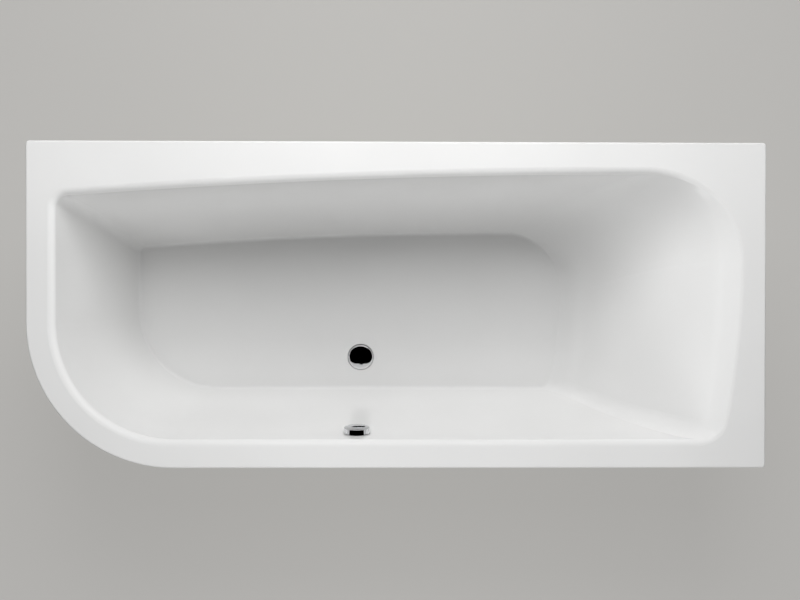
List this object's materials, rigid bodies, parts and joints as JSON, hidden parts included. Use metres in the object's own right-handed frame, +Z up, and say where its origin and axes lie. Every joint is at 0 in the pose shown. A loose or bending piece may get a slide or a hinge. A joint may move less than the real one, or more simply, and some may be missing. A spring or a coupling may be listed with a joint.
{
  "type": "asymmetric bathtub",
  "caption": "White acrylic built-in bathtub with a rounded front corner, an asymmetric well with a sloped backrest, a pop-up plug worked by the overflow knob, and levelling feet.",
  "frame": {"origin": "on the floor under the middle of the rim", "axes": "+X to the backrest end, +Y to the back wall side, +Z up"},
  "size_m": [1.7, 0.75, 0.6],
  "materials": {
    "acrylic": "glossy white",
    "fibreglass": "rough sprayed glass fibre",
    "chipboard": "raw chipboard",
    "zinc_steel": "zinc plated",
    "chrome": "polished",
    "brass": "machined",
    "plumbing_plastic": "white polypropylene",
    "dark_plastic": "black polypropylene",
    "rubber": "black rubber"
  },
  "bodies": {
    "tub": {"tub_shell": "acrylic", "fibreglass_backing": "fibreglass", "base_board": "chipboard", "cross_rail_left": "zinc_steel", "cross_rail_right": "zinc_steel", "rail_screws": "zinc_steel", "stud_nuts": "zinc_steel", "waste_flange": "chrome", "flange_seal": "rubber", "waste_gasket": "rubber", "waste_body": "plumbing_plastic", "lever_pin": "zinc_steel", "trap_nut": "dark_plastic", "trap_seal": "rubber", "trap_cup": "plumbing_plastic", "clean_out_cap": "dark_plastic", "outlet_pipe": "plumbing_plastic", "outlet_seal": "rubber", "outlet_nut": "dark_plastic", "overflow_front_gasket": "rubber", "overflow_rosette": "chrome", "overflow_screws": "zinc_steel", "overflow_rear_gasket": "rubber", "overflow_body": "plumbing_plastic", "overflow_rear_cover": "dark_plastic", "overflow_pipe": "plumbing_plastic", "overflow_pipe_upper_seal": "rubber", "overflow_pipe_upper_nut": "dark_plastic", "overflow_pipe_lower_seal": "rubber", "overflow_pipe_lower_nut": "dark_plastic", "cable_gland_upper": "dark_plastic", "cable_gland_lower": "dark_plastic"},
    "knob": {"overflow_knob": "chrome", "overflow_spindle": "brass", "cable_drum": "dark_plastic", "spindle_clip": "zinc_steel"},
    "plug": {"plug_cap": "chrome", "plug_seal": "rubber", "plug_stem": "brass"},
    "lever": {"lift_lever": "plumbing_plastic"},
    "foot_front_left": {"stud_front_left": "zinc_steel", "foot_pad_front_left": "dark_plastic", "foot_sole_front_left": "rubber"},
    "foot_front_right": {"stud_front_right": "zinc_steel", "foot_pad_front_right": "dark_plastic", "foot_sole_front_right": "rubber"},
    "foot_back_left": {"stud_back_left": "zinc_steel", "foot_pad_back_left": "dark_plastic", "foot_sole_back_left": "rubber"},
    "foot_back_right": {"stud_back_right": "zinc_steel", "foot_pad_back_right": "dark_plastic", "foot_sole_back_right": "rubber"}
  },
  "joints": [
    {"name": "knob_turn", "type": "hinge", "parent": "tub", "child": "knob", "pos_m": [-0.095, -0.30452, 0.525], "axis": [0, 0.9942, 0.1079], "range_deg": [0, 120]},
    {"name": "plug_lift", "type": "slide", "parent": "tub", "child": "plug", "axis": [0, 0, 1], "range_m": [0, 0.01]},
    {"name": "lever_turn", "type": "hinge", "parent": "tub", "child": "lever", "pos_m": [-0.073, -0.146, 0.14099], "axis": [0, 1, 0], "range_deg": [0, 27]},
    {"name": "foot_screw_front_left", "type": "slide", "parent": "tub", "child": "foot_front_left", "axis": [0, 0, 1], "range_m": [-0.02, 0.03]},
    {"name": "foot_screw_front_right", "type": "slide", "parent": "tub", "child": "foot_front_right", "axis": [0, 0, 1], "range_m": [-0.02, 0.03]},
    {"name": "foot_screw_back_left", "type": "slide", "parent": "tub", "child": "foot_back_left", "axis": [0, 0, 1], "range_m": [-0.02, 0.03]},
    {"name": "foot_screw_back_right", "type": "slide", "parent": "tub", "child": "foot_back_right", "axis": [0, 0, 1], "range_m": [-0.02, 0.03]}
  ],
  "couplings": [
    {"joint": "knob_turn", "follows": "plug_lift", "rad_per_m": 209.43},
    {"joint": "lever_turn", "follows": "plug_lift", "rad_per_m": 47.1}
  ]
}
